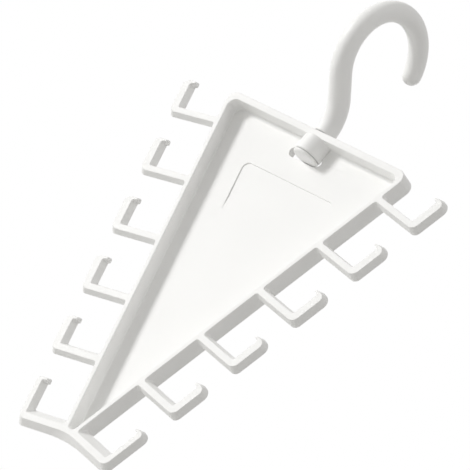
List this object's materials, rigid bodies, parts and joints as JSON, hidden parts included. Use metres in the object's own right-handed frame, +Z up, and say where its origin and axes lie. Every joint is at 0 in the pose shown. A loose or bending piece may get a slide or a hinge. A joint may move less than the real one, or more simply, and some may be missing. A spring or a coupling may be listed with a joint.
{
  "type": "tie hanger",
  "caption": "Moulded hanger for ties: a shallow tapering tray with upturned arms down both edges, hung from a round rail hook that swivels.",
  "frame": {"origin": "rail seat: the inside of the crook's top, where the rail bears, in the plane of the hook", "axes": "+Z up along the swivel axis, +X to the right across the tray, -Y towards the front of the tray"},
  "size_m": [0.1824, 0.0583, 0.2694],
  "materials": {
    "tray_plastic": "white satin moulded plastic",
    "hook_plastic": "white satin moulded plastic"
  },
  "bodies": {
    "hook": {"hook": "hook_plastic"},
    "tray": {"floor_panel": "tray_plastic", "rim_top": "tray_plastic", "rim_left": "tray_plastic", "rim_right": "tray_plastic", "stem_boss": "tray_plastic", "arm_left_1": "tray_plastic", "arm_left_2": "tray_plastic", "arm_left_3": "tray_plastic", "arm_left_4": "tray_plastic", "arm_left_5": "tray_plastic", "arm_left_6": "tray_plastic", "arm_right_1": "tray_plastic", "arm_right_2": "tray_plastic", "arm_right_3": "tray_plastic", "arm_right_4": "tray_plastic", "arm_right_5": "tray_plastic", "arm_right_6": "tray_plastic"}
  },
  "joints": [
    {"name": "hook_swivel", "type": "hinge", "parent": "hook", "child": "tray", "pos_m": [0, 0.00279, -0.07336], "axis": [0, 0, 1], "continuous": true}
  ]
}
